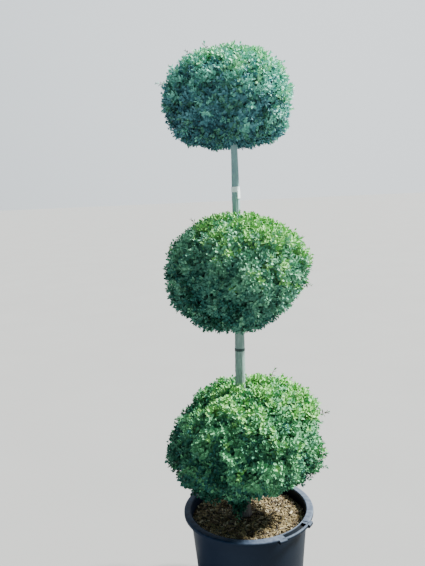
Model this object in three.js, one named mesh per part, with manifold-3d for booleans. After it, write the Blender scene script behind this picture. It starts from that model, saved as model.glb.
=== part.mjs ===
// A privet clipped into three stacked balls on one straight trunk, standing in a round nursery pot.
// Millimetres, +Z up. The origin is the centre of the pot's flat underside, and -Y is the front.
// Azimuths are degrees from +X towards +Y, elevations are degrees above the horizontal.

import * as THREE from "three";
import { mergeVertices } from "three/addons/utils/BufferGeometryUtils.js";
import Module from "manifold-3d";

const wasm = await Module();
wasm.setup();

// Driving dimensions

const GAP = 0.3; // clearance between pieces that rest on one another
const LOOSE_GAP = 0.45; // clearance between the trunk and whatever surrounds it
const SIDES_ROUND = 48; // segments of the pot and of the soil in it

const POT = {
  height: 370,
  rimRadius: 250,
  mouthRadius: 223,
  wall: 4,
  lipDrop: 12, // how far the turned-down lip hangs
  lipWall: 4,
  edge: 3, // rounding of the lip
  taper: 0.084, // wall radius lost for each millimetre of depth
  footRadius: 172,
  footRise: 42, // height of the rounded foot
  footCurve: [[0.55, 0.18], [0.88, 0.5]], // shares of the foot's spread and rise on its rounding
  floor: 8,
};

const HANDLE = {
  azimuths: [-48, 132],
  halfAngle: 17, // from the middle of the grip to the middle of each bracket
  innerRadius: 244,
  outerRadius: 254,
  bottom: 355,
  top: 368,
  round: 3,
  earRadius: 261, // how far out the brackets at a grip's ends reach
  earThickness: 28,
  earHeight: 14,
  overcut: 10, // how far the notch for the fingers is cut past the lip
};

const SOIL = {
  level: 328, // at the pot's wall
  crown: 335.7, // height of the level patch that the trunk stands on
  patchRadius: 42,
  roughness: 4,
  lumpSpacing: 95,
  rings: 4,
};

const TRUNK = {
  // x, y, z and radius, from the cut at soil level to the tip inside the top ball
  stations: [
    [-10, 0, 336, 21],
    [-11, 1, 372, 20.4],
    [-12, 3, 470, 20],
    [-12.5, 5, 640, 19.3],
    [-12.5, 2, 877, 18.3],
    [-10, -2, 1062, 17.1],
    [-7.5, 1, 1290, 15.4],
    [-5.5, 3, 1524, 13.4],
    [-5.5, 0, 1741, 12.2],
    [-8, -3, 1960, 6],
  ],
  sides: 12,
  rings: 27,
  crowding: 1.25, // more than 1 sets the rings closer together towards the foot
  flareHeight: 40,
  flare: 2.5, // how far the root flare stands out at the cut
  buttresses: 5,
  buttressDepth: 0.35,
};

// Ties round the trunk; an end is a loose end that hangs down at an azimuth.
const TIES = [
  { name: "lower_tie_band", z: 1001, height: 9.5, thickness: 1.5, colour: "rubber" },
  {
    name: "upper_tie_tape",
    z: 1589,
    height: 19,
    thickness: 1.8,
    colour: "tape",
    end: { azimuth: -38, drop: 23, width: 14, overlap: 4 },
  },
];

const FOLIAGE = {
  squareness: 2.3, // 2 is an ellipsoid, more has fuller shoulders
  core: 0.81, // size of the dense inside as a share of the clipped outline
  coreDetail: 4,
  tuft: 0.04, // how far the clipped tufts stand in and out of the core
  root: 0.66, // where the twigs leave the heart of the ball, as a share of the outline
  scatter: 0.16, // how far a twig strays from its even place, in radians
  reach: [0.97, 1.02], // where the twigs end, as shares of the outline
  twigRadius: 4,
  leafLength: 76,
  leafWidth: 38,
  leafThickness: 4,
  leafWaist: 0.42, // where a leaf is widest, as a share of its length
  endLeaf: 0.62, // length of the leaf at a twig's end, as a share of the others
  leafSplay: [1, 0.8], // radians between the leaves of each pair and their twig
  pairSpacing: 0.3, // distance between the pairs, as a share of a leaf's length
  whipLeaf: 0.55, // size of the leaves on a whip, as a share of the others
  finest: 0.2, // details smaller than this are smoothed away
  trunkRoom: 6, // no twig or leaf comes nearer to the trunk than this
};

// A bump or a whip stands out of the plain ball by its size as a share of the outline.
const BALLS = [
  {
    name: "foliage_ball_lower",
    colour: 0x3f6f42,
    centre: [-18, 0, 649],
    radius: 293,
    rise: 231,
    sink: 177,
    twigs: 34,
    seed: 11,
    bumps: [
      { azimuth: -108, elevation: -73, size: 0.64, width: 8 },
      { azimuth: -146, elevation: -47, size: 0.23, width: 20 },
      { azimuth: -66, elevation: -34, size: 0.07, width: 7 },
      { azimuth: 180, elevation: 45, size: -0.35, width: 28 },
      { azimuth: 0, elevation: 45, size: 0.12, width: 28 },
      { azimuth: 0, elevation: 18, size: 0.05, width: 12 },
      { azimuth: 0, elevation: 0, size: 0.045, width: 28 },
      { azimuth: 2, elevation: -31, size: 0.25, width: 20 },
    ],
    whips: [
      { azimuth: 10, elevation: 62, size: 0.13 },
      { azimuth: -4, elevation: 17, size: 0.06 },
      { azimuth: -108, elevation: -73, size: 0 },
    ],
  },
  {
    name: "foliage_ball_middle",
    colour: 0x36643f,
    centre: [-21, 0, 1298],
    radius: 261,
    rise: 214,
    sink: 223,
    twigs: 31,
    seed: 23,
    bumps: [
      { azimuth: 0, elevation: 10, size: 0.12, width: 28 },
      { azimuth: 0, elevation: -45, size: -0.1, width: 28 },
      { azimuth: 0, elevation: 45, size: -0.05, width: 28 },
      { azimuth: 180, elevation: 45, size: -0.06, width: 28 },
    ],
    whips: [
      { azimuth: 174, elevation: 52, size: 0.08 },
      { azimuth: 5, elevation: -14, size: 0.1 },
    ],
  },
  {
    name: "foliage_ball_upper",
    colour: 0x2d5748,
    centre: [-21, 0, 1894],
    radius: 234,
    rise: 178,
    sink: 162,
    twigs: 29,
    seed: 37,
    bumps: [
      { azimuth: 0, elevation: -45, size: 0.09, width: 28 },
      { azimuth: 180, elevation: -45, size: 0.05, width: 28 },
      { azimuth: 0, elevation: 0, size: -0.05, width: 28 },
    ],
    whips: [
      { azimuth: 180, elevation: 69, size: 0.16 },
      { azimuth: 190, elevation: 50, size: 0.08 },
      { azimuth: 172, elevation: 33, size: 0.09 },
      { azimuth: 186, elevation: 15, size: 0.09 },
    ],
  },
];

const COLOURS = {
  pot: 0x20242c,
  soil: 0x5a4029,
  trunk: 0x7d7f70,
  rubber: 0x14181a,
  tape: 0xdfe6e4,
};

// Helpers

const radians = THREE.MathUtils.degToRad;
const GOLDEN_ANGLE = Math.PI * (3 - Math.sqrt(5));
const UP = new THREE.Vector3(0, 0, 1);
const ASIDE = new THREE.Vector3(0.3, 0.5, 0.8); // a way that no twig runs along

// A repeatable stream of numbers from 0 to 1.
function randomStream(seed) {
  let state = seed >>> 0;
  return () => {
    state = (state + 0x6d2b79f5) >>> 0;
    let t = Math.imul(state ^ (state >>> 15), 1 | state);
    t = (t + Math.imul(t ^ (t >>> 7), 61 | t)) ^ t;
    return ((t ^ (t >>> 14)) >>> 0) / 4294967296;
  };
}

function solidOf(geometry) {
  const bare = geometry.clone();
  bare.deleteAttribute("normal");
  bare.deleteAttribute("uv");
  const merged = mergeVertices(bare, 1e-4);
  return new wasm.Manifold(
    new wasm.Mesh({
      numProp: 3,
      vertProperties: new Float32Array(merged.attributes.position.array),
      triVerts: new Uint32Array(merged.index.array),
    }),
  );
}

// The largest body of a solid: sealed hollows are filled and loose scraps are dropped.
function mainBody(solid) {
  const bodies = solid.decompose();
  return bodies.reduce((best, body) => (body.volume() > best.volume() ? body : best));
}

function geometryOf(solid) {
  const mesh = solid.getMesh();
  const geometry = new THREE.BufferGeometry();
  geometry.setAttribute("position", new THREE.BufferAttribute(mesh.vertProperties, mesh.numProp));
  geometry.setIndex(new THREE.BufferAttribute(mesh.triVerts, 1));
  const flat = geometry.toNonIndexed();
  flat.computeVertexNormals();
  return flat;
}

function pieceOf(name, geometry, colour, roughness) {
  const material = new THREE.MeshStandardMaterial({ color: colour, roughness, metalness: 0 });
  const mesh = new THREE.Mesh(geometry, material);
  mesh.name = name;
  return mesh;
}

// A profile of [radius, height] pairs turned round +Z, given from the axis at the foot upwards.
function turned(profile) {
  const points = profile.map(([radius, height]) => new THREE.Vector2(radius, height));
  const geometry = new THREE.LatheGeometry(points, SIDES_ROUND);
  geometry.rotateX(Math.PI / 2);
  return geometry;
}

// Pot

const wallRadiusAt = (z) => POT.mouthRadius + POT.wall - POT.taper * (POT.height - z);

function potProfile() {
  const { height, rimRadius, mouthRadius, wall, lipDrop, lipWall, edge } = POT;
  const { footRadius, footRise, footCurve, floor } = POT;
  const lipFoot = height - lipDrop;
  const footTop = wallRadiusAt(footRise);
  const rounding = footCurve.map(([out, up]) => [footRadius + out * (footTop - footRadius), up * footRise]);
  return [
    [0, 0],
    [footRadius, 0],
    ...rounding,
    [footTop, footRise],
    [wallRadiusAt(height - lipWall), height - lipWall],
    [rimRadius - lipWall, height - lipWall],
    [rimRadius - lipWall, lipFoot],
    [rimRadius, lipFoot],
    [rimRadius, height - edge],
    [rimRadius - edge, height],
    [mouthRadius + edge, height],
    [mouthRadius, height - edge],
    [footTop - wall, footRise],
    [footRadius, floor],
    [0, floor],
  ];
}

// A stretch of a ring between two radii, centred on an azimuth, with its edges cut back by round.
function ringStretch(inner, outer, halfAngle, azimuth, bottom, top, round) {
  const shape = new THREE.Shape();
  const start = radians(azimuth - halfAngle);
  const end = radians(azimuth + halfAngle);
  shape.absarc(0, 0, outer - round, start, end, false);
  shape.absarc(0, 0, inner + round, end, start, true);
  const geometry = new THREE.ExtrudeGeometry(shape, {
    depth: top - bottom - 2 * round,
    bevelEnabled: round > 0,
    bevelThickness: round,
    bevelSize: round,
    bevelSegments: 1,
    curveSegments: 6,
  });
  geometry.translate(0, 0, bottom + round);
  return geometry;
}

// The bracket that joins a grip to the pot at an azimuth.
function ear(azimuth) {
  const inner = POT.mouthRadius + POT.wall / 4;
  const { earRadius, earThickness, earHeight } = HANDLE;
  const geometry = new THREE.BoxGeometry(earRadius - inner, earThickness, earHeight);
  geometry.translate((inner + earRadius) / 2, 0, POT.height - POT.edge - earHeight / 2);
  geometry.rotateZ(radians(azimuth));
  return geometry;
}

// The pot, with the lip cut away behind each handle's grip so that fingers pass between.
function potSolid() {
  const { azimuths, halfAngle, innerRadius, outerRadius, bottom, top, round, overcut } = HANDLE;
  const wallFace = POT.mouthRadius + POT.wall + POT.lipWall / 8;
  const notchFoot = POT.height - POT.lipDrop - overcut;
  const notchTop = POT.height + overcut;
  let pot = solidOf(turned(potProfile()));
  for (const azimuth of azimuths) {
    const notch = ringStretch(wallFace, POT.rimRadius + overcut, halfAngle, azimuth, notchFoot, notchTop, 0);
    const grip = ringStretch(innerRadius, outerRadius, halfAngle, azimuth, bottom, top, round);
    pot = pot.subtract(solidOf(notch)).add(solidOf(grip));
    for (const side of [-1, 1]) {
      pot = pot.add(solidOf(ear(azimuth + side * halfAngle)));
    }
  }
  return mainBody(pot);
}

// Soil

// Height of the soil over a place: a low crown round the trunk, and lumps that fade out at both.
function soilHeight(x, y, edgeRadius) {
  const radius = Math.hypot(x, y);
  if (radius <= SOIL.patchRadius) return SOIL.crown;
  const out = Math.min(1, (radius - SOIL.patchRadius) / (edgeRadius - SOIL.patchRadius));
  const wave = (2 * Math.PI) / SOIL.lumpSpacing;
  const lumps = Math.sin(wave * x + 1) * Math.cos(wave * y) + 0.5 * Math.sin(2 * wave * (x + y));
  const slope = THREE.MathUtils.lerp(SOIL.crown, SOIL.level, Math.sqrt(out));
  return slope + SOIL.roughness * lumps * Math.sin(Math.PI * out);
}

function soilGeometry() {
  const room = POT.wall + 2 * GAP;
  const edgeRadius = wallRadiusAt(SOIL.level) - room;
  const footRadius = wallRadiusAt(POT.footRise) - room;
  const profile = [
    [0, POT.floor + GAP],
    [POT.footRadius - POT.wall, POT.floor + GAP],
    [footRadius, POT.footRise + POT.wall],
  ];
  for (let ring = SOIL.rings; ring >= 0; ring--) {
    const share = ring / SOIL.rings;
    profile.push([THREE.MathUtils.lerp(SOIL.patchRadius, edgeRadius, share), SOIL.level]);
  }
  profile.push([0, SOIL.level]);
  const geometry = turned(profile);
  const place = geometry.attributes.position;
  for (let i = 0; i < place.count; i++) {
    if (place.getZ(i) < SOIL.level - GAP) continue;
    place.setZ(i, soilHeight(place.getX(i), place.getY(i), edgeRadius));
  }
  return geometry;
}

// Trunk

const trunkPath = new THREE.CatmullRomCurve3(
  TRUNK.stations.map(([x, y, z]) => new THREE.Vector3(x, y, z)),
);
const trunkFoot = TRUNK.stations[0][2];
const trunkTip = TRUNK.stations.at(-1)[2];

// The point where the trunk's middle line passes a height.
function trunkCentre(z) {
  let low = 0;
  let high = 1;
  for (let step = 0; step < 40; step++) {
    const middle = (low + high) / 2;
    if (trunkPath.getPoint(middle).z < z) low = middle;
    else high = middle;
  }
  return trunkPath.getPoint(low);
}

function trunkRadius(z, azimuth = 0) {
  const after = TRUNK.stations.findIndex((station) => station[2] >= z);
  const next = Math.max(1, after === -1 ? TRUNK.stations.length - 1 : after);
  const [, , z0, r0] = TRUNK.stations[next - 1];
  const [, , z1, r1] = TRUNK.stations[next];
  const straight = THREE.MathUtils.lerp(r0, r1, (z - z0) / (z1 - z0));
  const near = Math.max(0, 1 - (z - trunkFoot) / TRUNK.flareHeight);
  const buttress = 1 + TRUNK.buttressDepth * Math.cos(TRUNK.buttresses * azimuth);
  return straight + TRUNK.flare * near * near * buttress;
}

// The trunk between two heights, grown outwards by an amount: a cylinder bent to the trunk's path.
function trunkGeometry(from, to, grow) {
  const geometry = new THREE.CylinderGeometry(1, 1, 1, TRUNK.sides, TRUNK.rings);
  geometry.rotateX(Math.PI / 2);
  const place = geometry.attributes.position;
  for (let i = 0; i < place.count; i++) {
    const out = Math.hypot(place.getX(i), place.getY(i));
    const azimuth = Math.atan2(place.getY(i), place.getX(i));
    const share = place.getZ(i) + 0.5;
    const z = THREE.MathUtils.lerp(from, to, share ** TRUNK.crowding);
    const level = THREE.MathUtils.clamp(z, trunkFoot, trunkTip);
    const centre = trunkCentre(level);
    const radius = out * (trunkRadius(level, azimuth) + grow);
    place.setXYZ(i, centre.x + radius * Math.cos(azimuth), centre.y + radius * Math.sin(azimuth), z);
  }
  return geometry;
}

// The trunk with its clearance, to cut the way through whatever surrounds it.
const trunkRoom = solidOf(trunkGeometry(trunkFoot - 1, trunkTip + LOOSE_GAP, LOOSE_GAP));

// A band round the trunk, with its loose end if it has one.
function tieSolid({ z, height, thickness, end }) {
  const centre = trunkCentre(z);
  const radius = trunkRadius(z) + LOOSE_GAP + thickness;
  const band = new THREE.CylinderGeometry(radius, radius, height, 20);
  band.rotateX(Math.PI / 2);
  let tie = solidOf(band);
  if (end) {
    const loose = new THREE.BoxGeometry(radius, end.width, end.drop + end.overlap);
    loose.translate(radius / 2, 0, (end.overlap - end.drop - height) / 2);
    loose.rotateZ(radians(end.azimuth));
    tie = tie.add(solidOf(loose));
  }
  return mainBody(tie.translate(centre.x, centre.y, z).subtract(trunkRoom));
}

// Foliage

function towards(azimuth, elevation) {
  const a = radians(azimuth);
  const e = radians(elevation);
  return new THREE.Vector3(Math.cos(a) * Math.cos(e), Math.sin(a) * Math.cos(e), Math.sin(e));
}

// Distance from a ball's centre to its clipped outline, in a direction. The bumps swell it to most at most.
function outline(ball, way, most = Infinity) {
  const level = Math.hypot(way.x, way.y) / ball.radius;
  const upright = Math.abs(way.z) / (way.z > 0 ? ball.rise : ball.sink);
  const p = FOLIAGE.squareness;
  const plain = (level ** p + upright ** p) ** (-1 / p);
  let swell = 1;
  for (const { azimuth, elevation, size, width } of ball.bumps) {
    const off = way.angleTo(towards(azimuth, elevation)) / radians(width);
    swell += size * Math.exp(-off * off);
  }
  return plain * Math.min(swell, most);
}

// How far the tufts of the core stand out in a direction, from -1 to 1.
function tufts(ball, way) {
  const across = Math.sin(31 * way.x + 2 * ball.seed) * Math.cos(27 * way.y - ball.seed);
  return 0.6 * across + 0.4 * Math.sin(29 * way.z + 19 * way.x + ball.seed);
}

function coreSolid(ball) {
  const geometry = new THREE.IcosahedronGeometry(1, FOLIAGE.coreDetail);
  const place = geometry.attributes.position;
  const way = new THREE.Vector3();
  for (let i = 0; i < place.count; i++) {
    way.fromBufferAttribute(place, i).normalize();
    const share = FOLIAGE.core + FOLIAGE.tuft * tufts(ball, way);
    way.multiplyScalar(share * outline(ball, way));
    place.setXYZ(i, way.x, way.y, way.z);
  }
  return solidOf(geometry);
}

// A copy of a geometry that grows along +Y and faces +Z, set to grow from a foot along a way.
function planted(geometry, foot, along, face) {
  const side = new THREE.Vector3().crossVectors(along, face).normalize();
  const front = new THREE.Vector3().crossVectors(side, along);
  const turn = new THREE.Matrix4().makeBasis(side, along, front).setPosition(foot);
  return geometry.clone().applyMatrix4(turn);
}

// A leaf of eight faces, widest below its middle, with its foot at the origin.
function leafGeometry() {
  const { leafLength, leafWidth, leafThickness, leafWaist } = FOLIAGE;
  const geometry = new THREE.OctahedronGeometry(1);
  const place = geometry.attributes.position;
  for (let i = 0; i < place.count; i++) {
    const along = place.getY(i) === 0 ? leafWaist : (place.getY(i) + 1) / 2;
    place.setXYZ(i, place.getX(i) * leafWidth / 2, along * leafLength, place.getZ(i) * leafThickness / 2);
  }
  return geometry;
}

function twigGeometry(radius, length) {
  const geometry = new THREE.ConeGeometry(radius, length, 3);
  geometry.translate(0, length / 2, 0);
  return geometry;
}

// Whether a point, measured from a ball's centre, stays clear of the trunk.
function clearOfTrunk(ball, point) {
  const z = point.z + ball.centre[2];
  if (z > trunkTip + FOLIAGE.trunkRoom) return true;
  const centre = trunkCentre(Math.max(z, trunkFoot));
  const off = Math.hypot(point.x + ball.centre[0] - centre.x, point.y + ball.centre[1] - centre.y);
  return off > trunkRadius(z) + FOLIAGE.trunkRoom;
}

// A twig from the heart of a ball towards a way, ending at a share of the outline.
function twigTowards(ball, way, reach, strayed) {
  const foot = way.clone().multiplyScalar(FOLIAGE.root * outline(ball, way, 1));
  const tip = strayed.clone().multiplyScalar(reach * outline(ball, strayed));
  const along = tip.clone().sub(foot);
  const length = along.length();
  return { foot, tip, along: along.normalize(), length };
}

// The twigs of a ball, spread evenly over its outline, and then its few long whips.
function twigsOf(ball) {
  const random = randomStream(ball.seed);
  const [shortest, longest] = FOLIAGE.reach;
  const twigs = [];
  for (let i = 0; i < ball.twigs; i++) {
    const height = 1 - (2 * (i + 0.5)) / ball.twigs;
    const ring = Math.sqrt(1 - height * height);
    const way = new THREE.Vector3(ring, 0, height).applyAxisAngle(UP, i * GOLDEN_ANGLE);
    const stray = new THREE.Vector3(random() - 0.5, random() - 0.5, random() - 0.5);
    const strayed = way.clone().addScaledVector(stray, 2 * FOLIAGE.scatter).normalize();
    const reach = THREE.MathUtils.lerp(shortest, longest, random());
    const twig = twigTowards(ball, way, reach, strayed);
    twigs.push({ ...twig, turn: Math.PI * random(), leafSize: 1 });
  }
  for (const whip of ball.whips) {
    const way = towards(whip.azimuth, whip.elevation);
    const twig = twigTowards(ball, way, 1 + whip.size, way);
    twigs.push({ ...twig, turn: Math.PI * random(), leafSize: FOLIAGE.whipLeaf });
  }
  return twigs;
}

// The leaves of a twig: one at its end, and opposite pairs below it, each pair turned by a right angle.
function leavesOf(twig) {
  const { endLeaf, leafSplay, pairSpacing } = FOLIAGE;
  const length = twig.leafSize * FOLIAGE.leafLength;
  const side = new THREE.Vector3().crossVectors(UP, twig.along).normalize();
  const across = side.applyAxisAngle(twig.along, twig.turn);
  const foot = twig.tip.clone().addScaledVector(twig.along, -endLeaf * length);
  const size = twig.leafSize;
  const leaves = [{ foot: foot.clone(), along: twig.along, face: across.clone(), size: endLeaf * size }];
  for (const splay of leafSplay) {
    for (const sign of [-1, 1]) {
      const along = twig.along.clone().multiplyScalar(Math.cos(splay));
      along.addScaledVector(across, sign * Math.sin(splay));
      leaves.push({ foot: foot.clone(), along, face: twig.along, size });
    }
    foot.addScaledVector(twig.along, -pairSpacing * length);
    across.applyAxisAngle(twig.along, Math.PI / 2);
  }
  return leaves;
}

// A ball: its core, its twigs and their leaves fused into one solid with the way for the trunk cut out.
function ballSolid(ball) {
  const { endLeaf, leafLength, twigRadius, finest } = FOLIAGE;
  const leafShape = leafGeometry();
  const solids = [coreSolid(ball)];
  for (const twig of twigsOf(ball)) {
    if (!clearOfTrunk(ball, twig.tip)) continue;
    const stemLength = twig.length - (endLeaf * leafLength * twig.leafSize) / 2;
    const stem = twigGeometry(twigRadius, stemLength);
    solids.push(solidOf(planted(stem, twig.foot, twig.along, ASIDE)));
    for (const { foot, along, face, size } of leavesOf(twig)) {
      const tip = foot.clone().addScaledVector(along, size * leafLength);
      if (!clearOfTrunk(ball, tip)) continue;
      const leaf = leafShape.clone().scale(size, size, 1);
      solids.push(solidOf(planted(leaf, foot, along, face)));
    }
  }
  const fused = wasm.Manifold.union(solids).translate(ball.centre);
  return mainBody(fused.subtract(trunkRoom).simplify(finest));
}

// The part

const topiary = new THREE.Group();
topiary.add(pieceOf("pot", geometryOf(potSolid()), COLOURS.pot, 0.55));
topiary.add(pieceOf("soil", soilGeometry(), COLOURS.soil, 0.95));
topiary.add(pieceOf("trunk", trunkGeometry(trunkFoot, trunkTip, 0), COLOURS.trunk, 0.8));
for (const tie of TIES) {
  topiary.add(pieceOf(tie.name, geometryOf(tieSolid(tie)), COLOURS[tie.colour], 0.6));
}
for (const ball of BALLS) {
  topiary.add(pieceOf(ball.name, geometryOf(ballSolid(ball)), ball.colour, 0.6));
}

export default topiary;
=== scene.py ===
"""Looks of a privet clipped into three stacked balls on one trunk, in a round nursery pot.

Sizes are in metres in the frame of the solids: +Z up, the pot's flat underside at the origin, -Y in front.
Azimuths are degrees from +X towards +Y, elevations are degrees above the horizontal.
"""

import math

import bpy
import numpy as np
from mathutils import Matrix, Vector


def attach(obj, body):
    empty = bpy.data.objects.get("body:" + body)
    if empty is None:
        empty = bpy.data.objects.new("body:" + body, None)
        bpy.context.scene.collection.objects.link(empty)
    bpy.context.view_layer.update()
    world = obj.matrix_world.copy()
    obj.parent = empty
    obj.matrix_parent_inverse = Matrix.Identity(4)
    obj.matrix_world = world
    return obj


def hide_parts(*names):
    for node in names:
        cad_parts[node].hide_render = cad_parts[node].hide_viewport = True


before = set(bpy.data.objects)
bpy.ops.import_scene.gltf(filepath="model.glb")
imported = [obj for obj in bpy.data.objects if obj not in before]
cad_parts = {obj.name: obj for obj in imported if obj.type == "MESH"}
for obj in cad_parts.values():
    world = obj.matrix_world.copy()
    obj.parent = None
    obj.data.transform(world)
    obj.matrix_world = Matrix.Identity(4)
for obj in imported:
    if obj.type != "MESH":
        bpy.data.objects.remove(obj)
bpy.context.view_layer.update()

# Driving dimensions

FULL_TURN = 2 * math.pi
GOLDEN_ANGLE = math.pi * (3 - math.sqrt(5))
PINHOLE = 0.0005  # radius that a turned shape keeps at its axis

POT_HEIGHT = 0.370
RIM_RADIUS = 0.250
MOUTH_RADIUS = 0.223
POT_WALL = 0.004
POT_TAPER = 0.084  # wall radius lost for each metre of depth
POT_FOOT_RADIUS = 0.172
POT_FOOT_RISE = 0.042
POT_FLOOR = 0.008
POT_SIDES = 192
LIP_DROP = 0.012
LIP_WALL = 0.004
LIP_EDGE = 0.005
LIP_FILLET = 0.003  # how much lower the lip's underside lies at its hem than at the wall
SHARP_ANGLE = 40  # edges of the pot that bend by more stay crisp

HANDLE_AZIMUTHS = (-48, 132)
HANDLE_HALF_ANGLE = 17  # from the middle of the grip to the middle of each bracket
HANDLE_ROUND = 0.004
GRIP_RADII = (0.244, 0.254)
GRIP_HEIGHTS = (0.355, 0.368)
EAR_RADIUS = 0.261
EAR_WIDTH = 0.028
EAR_HEIGHT = 0.014
EAR_DROP = 0.002  # how far below the top of the lip the brackets end

# Steps along the curves of the pot
FOOT_STEPS = 12
WALL_STEPS = 24
LIP_INNER_STEPS = 6
LIP_OUTER_STEPS = 7
CORNER_STEPS = 5
LIP_SWEEP = 90
GRIP_SWEEP = 18
EAR_SWEEP = 6

SOIL_LEVEL = 0.328
SOIL_CROWN = 0.3357
SOIL_PATCH = 0.042  # radius of the level patch that the trunk stands on
SOIL_GAP = 0.0006  # between the soil and the pot's wall
SOIL_FOOT_GAP = 0.002  # between the soil and the pot's floor
SOIL_ROUGHNESS = 0.004
LUMP_SPACING = 0.095
CRUMB_HEIGHT = 0.0008
SOIL_RINGS = 60
SOIL_SIDES = 128
SOIL_SEED = 8

CHIP_COUNT = 7600
CHIP_LENGTH = 0.0115  # the middle one, with the spread of its logarithm
CHIP_LENGTH_SPREAD = 0.50
CHIP_LENGTH_LIMITS = (0.005, 0.034)
CHIP_WIDTHS = (0.10, 0.34)  # shares of a chip's length
CHIP_THICKNESSES = (0.06, 0.16)
CHIP_TAPERS = (0.35, 1.0)
CHIP_REACH = (0.012, 0.98)  # shares of the soil's area, from the middle to the edge
CHIP_CLEARING = 0.034  # radius round the trunk that stays free of chips
CHIP_LIFT = 0.0045  # the middle of a chip lies up to this far above the soil
CHIP_TILT = 0.30
CHIP_ROLL = 0.35
CHIP_SHARES = (0.42, 0.30, 0.14, 0.14)  # golden, brown, straw and dark

# x, y, z and radius of the trunk, from the cut at soil level to the tip inside the top ball
TRUNK = np.array(
    [
        (-0.0100, 0.000, 0.336, 0.0210),
        (-0.0110, 0.001, 0.372, 0.0204),
        (-0.0120, 0.003, 0.470, 0.0200),
        (-0.0125, 0.005, 0.640, 0.0193),
        (-0.0125, 0.002, 0.877, 0.0183),
        (-0.0100, -0.002, 1.062, 0.0171),
        (-0.0075, 0.001, 1.290, 0.0154),
        (-0.0055, 0.003, 1.524, 0.0134),
        (-0.0055, 0.000, 1.741, 0.0122),
        (-0.0080, -0.003, 1.960, 0.0060),
    ]
)
TRUNK_FLARE = 0.0025
TRUNK_FLARE_HEIGHT = 0.040
BUTTRESSES = 5
BUTTRESS_DEPTH = 0.35
TRUNK_RINGS = 620
TRUNK_SIDES = 56
TRUNK_SEED = 5

# Low waves of the bark: height, waves round the trunk, radians for each metre upwards, and phase
BARK_WAVES = ((0.0004, 7, 9, 0), (0.0003, 13, -16, 1), (0.0007, 2, 21, 0))
BARK_GRAIN = 0.00012
SCAR_COUNT = 26
SCAR_HEIGHTS = (0.88, 1.72)
SCAR_RADII = (0.004, 0.008)
SCAR_COLLAR = 0.0016
SCAR_DENT = 0.0011
DENT_NARROWING = 2.2  # how many times narrower the dent is than its collar
SPLASHED = (SOIL_LEVEL + 0.05, SOIL_LEVEL + 0.16)  # heights between which the soil's brown fades out
YOUNG_WOOD = (1.20, 1.65)  # heights between which the old bark gives way to smooth young bark

SQUARENESS = 2.3  # 2 is an ellipsoid, more has fuller shoulders
STRAY_SHARE = 0.07  # share of the sprays that stand a little out of the clipped surface
STRAY_SHARE_TOP = 0.18  # the same in the loosely clipped upper half of the top ball

# Each bump is azimuth, elevation, size as a share of the outline, and width in degrees. A whip has the first
# three of these. A hanging tuft is azimuth, elevation, spread in degrees and number of sprays. The tints are
# shares of the sprays, from the darkest to the lightest.
BALLS = {
    "lower": dict(
        centre=(-0.018, 0.0, 0.649),
        radius=0.293,
        rise=0.231,
        sink=0.177,
        seed=11,
        bumps=(
            (-108, -73, 0.64, 8),
            (-146, -47, 0.23, 20),
            (-66, -34, 0.07, 7),
            (180, 45, -0.35, 28),
            (0, 45, 0.12, 28),
            (0, 18, 0.05, 12),
            (0, 0, 0.045, 28),
            (2, -31, 0.25, 20),
        ),
        whips=((10, 62, 0.13), (-4, 17, 0.06), (-108, -73, 0.0)),
        hanging=(-108, -73, 5, 170),
        sprays=4300,
        tints=dict(deep=0.36, bluish=0.12, middle=0.16, light=0.26, young_and_sunlit=0.10),
        whip_colour="light",
    ),
    "middle": dict(
        centre=(-0.021, 0.0, 1.298),
        radius=0.261,
        rise=0.214,
        sink=0.223,
        seed=23,
        bumps=((0, 10, 0.12, 28), (0, -45, -0.10, 28), (0, 45, -0.05, 28), (180, 45, -0.06, 28)),
        whips=((174, 52, 0.08), (5, -14, 0.10)),
        sprays=3700,
        tints=dict(deep=0.20, bluish=0.18, sage=0.21, pale=0.27, young_and_sunlit=0.14),
        whip_colour="light",
    ),
    "upper": dict(
        centre=(-0.021, 0.0, 1.894),
        radius=0.234,
        rise=0.178,
        sink=0.162,
        seed=37,
        bumps=((0, -45, 0.09, 28), (180, -45, 0.05, 28), (0, 0, -0.05, 28)),
        whips=((180, 69, 0.16), (190, 50, 0.08), (172, 33, 0.09), (186, 15, 0.09)),
        sprays=3000,
        loose=STRAY_SHARE_TOP,
        # The top ball's bluer and paler tints are painted sky glare over the same leaves as below.
        tints=dict(slate=0.29, sage=0.10, teal=0.21, mint=0.28, spring=0.12),
        whip_colour="mint",
    ),
}

TUFT_WAVES = 14
TUFT_PITCH = (9, 26)  # radians of a wave for each radian over the ball
TUFT_SOFTNESS = 2.6
INNER_SHARE = 0.20  # share of the sprays that fill the ball behind its surface
TRUNK_ROOM = 0.006  # no foot or tip of a shoot or leaf comes nearer to the trunk than this

# How far out the sprays end, as shares of the outline
TUFT_DEPTH = 0.10  # how far the hollows between the tufts go in
REACH_STRAY = (-0.02, 0.015)
REACH_LIMIT = 1.04
INNER_DEPTHS = (0.07, 0.22)
STRAY_HEIGHTS = (0.01, 0.045)
HANGING_FROM = 0.62
WHIP_ROOT = 0.84

SHOOT_LENGTH = 0.062
SHOOT_LENGTHS = (0.8, 1.2)  # shares of the usual length
SHOOT_ROOT = 0.02  # how much further in a shoot's stem begins
SHOOT_RADIUS = 0.0010
SHOOT_TAPER = 0.4  # radius of the tip as a share of the foot's
SHOOT_SCATTER = 0.02
SHOOT_LEAN = 0.26
SHOOT_LIFT = (0.55, 0.10)  # how much the shoots turn upwards on the top half and below it
LEAST_OUTWARD = 0.8  # a shoot that points less far out than this is pulled outwards
OUTWARD_PULL = 1.4
WHIP_RADII = (0.0014, 0.0005)  # at the foot and at the tip
WHIP_LEAF = 0.8  # size as a share of a full leaf
WHIP_LEAF_WIDTH = 0.45  # share of the leaf's length

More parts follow.
